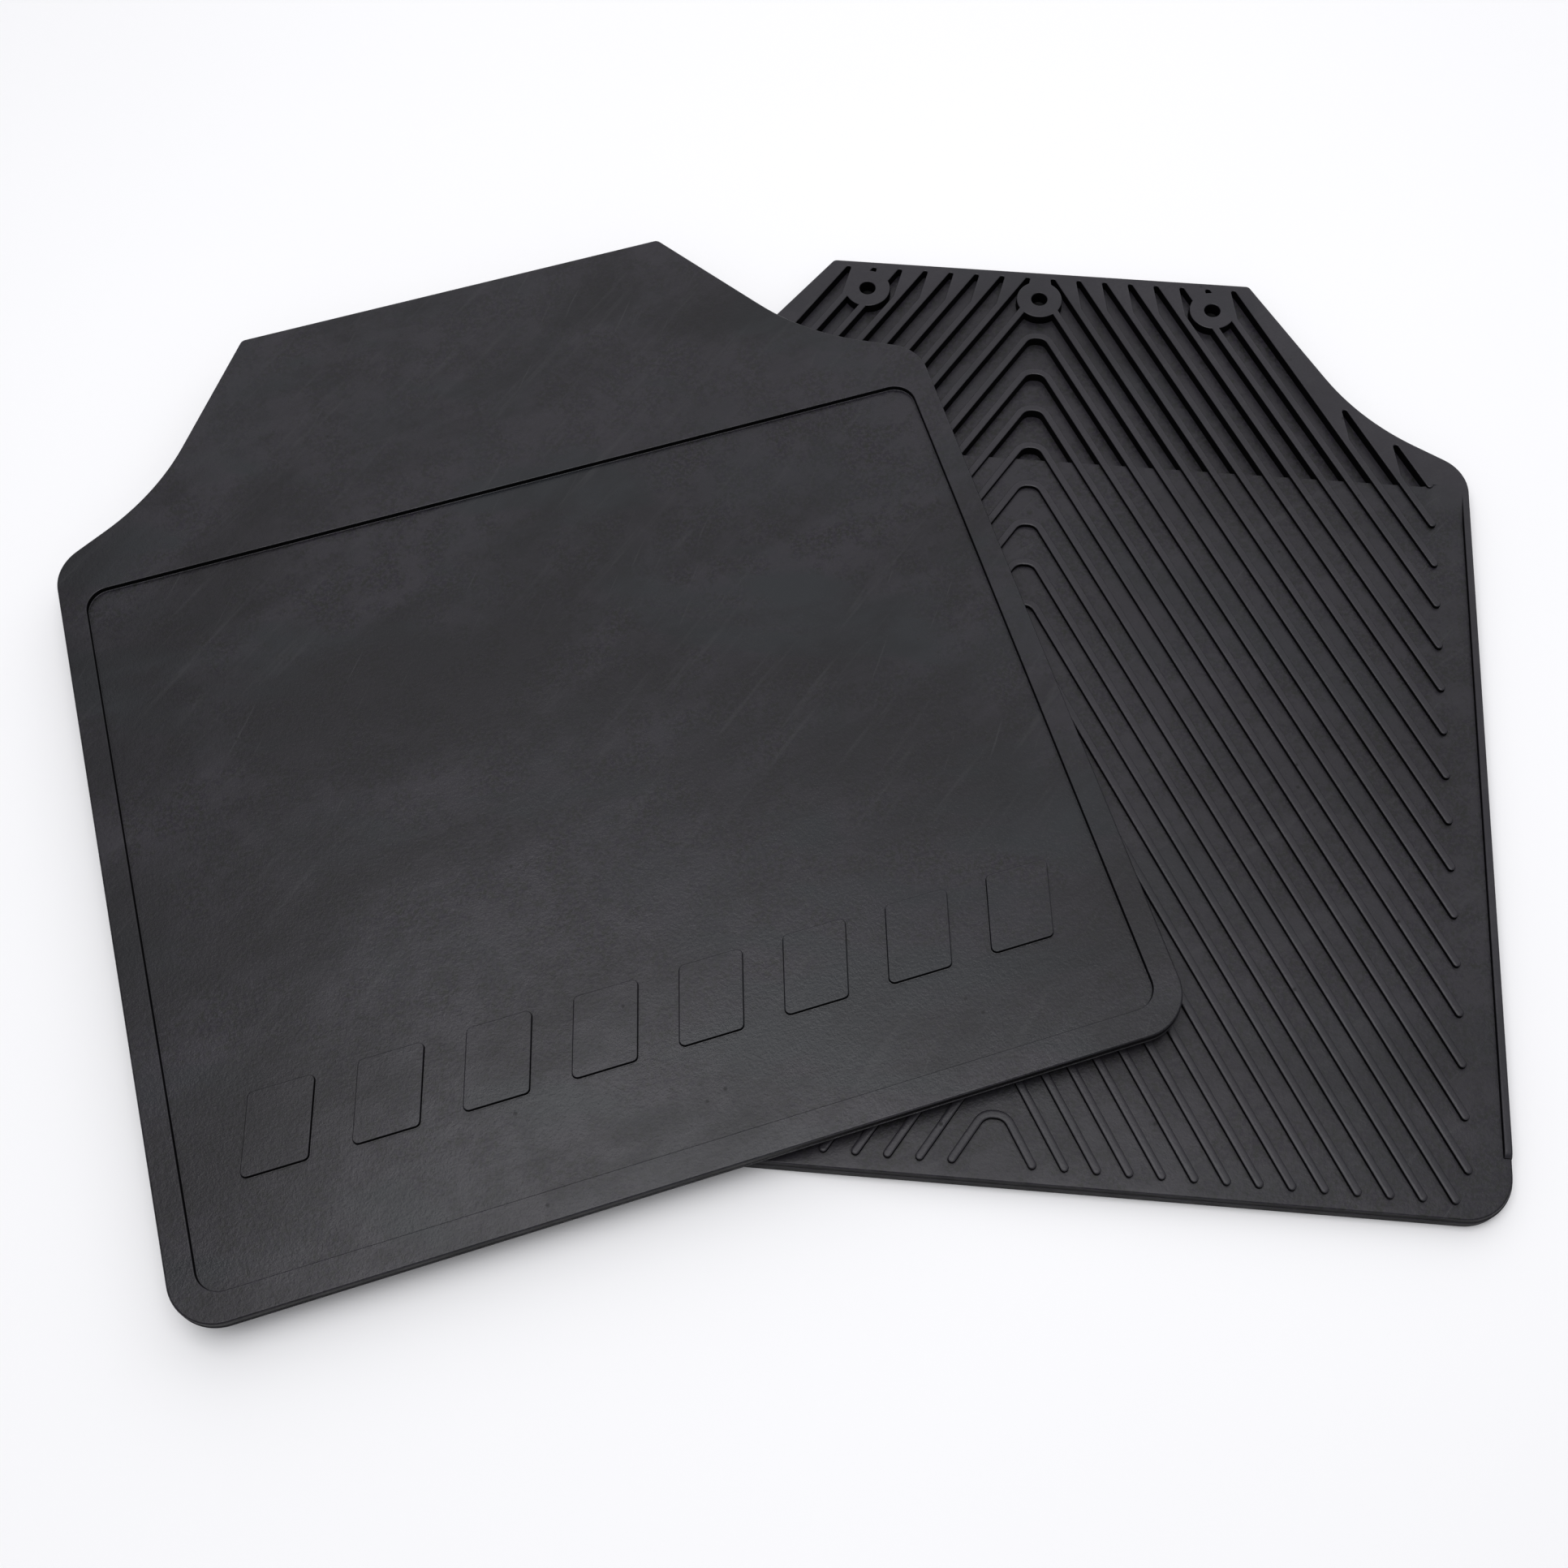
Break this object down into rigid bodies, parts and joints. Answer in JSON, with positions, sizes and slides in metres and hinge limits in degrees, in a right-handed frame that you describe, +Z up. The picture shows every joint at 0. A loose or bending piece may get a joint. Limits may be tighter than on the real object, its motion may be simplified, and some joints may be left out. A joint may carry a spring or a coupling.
{
  "type": "mud flap",
  "caption": "Pair of identical black moulded rubber mud flaps, one face up over one back up, with ribbed backs, screw bosses and a framed front panel.",
  "frame": {"origin": "on the floor, under the middle of the pair's bounding box", "axes": "+Z up through both flaps; +Y away from the viewer, towards the ends that are fixed to the vehicle; +X to the viewer's right"},
  "size_m": [0.579, 0.4704, 0.0193],
  "materials": {
    "lower_rubber": "satin",
    "upper_rubber": "satin"
  },
  "bodies": {
    "lower": {"lower_flap": "lower_rubber"},
    "upper": {"upper_flap": "upper_rubber"}
  },
  "joints": [
    {"name": "upper_lift", "type": "slide", "parent": "lower", "child": "upper", "axis": [0, 0, 1], "range_m": [0, 0.15]}
  ]
}
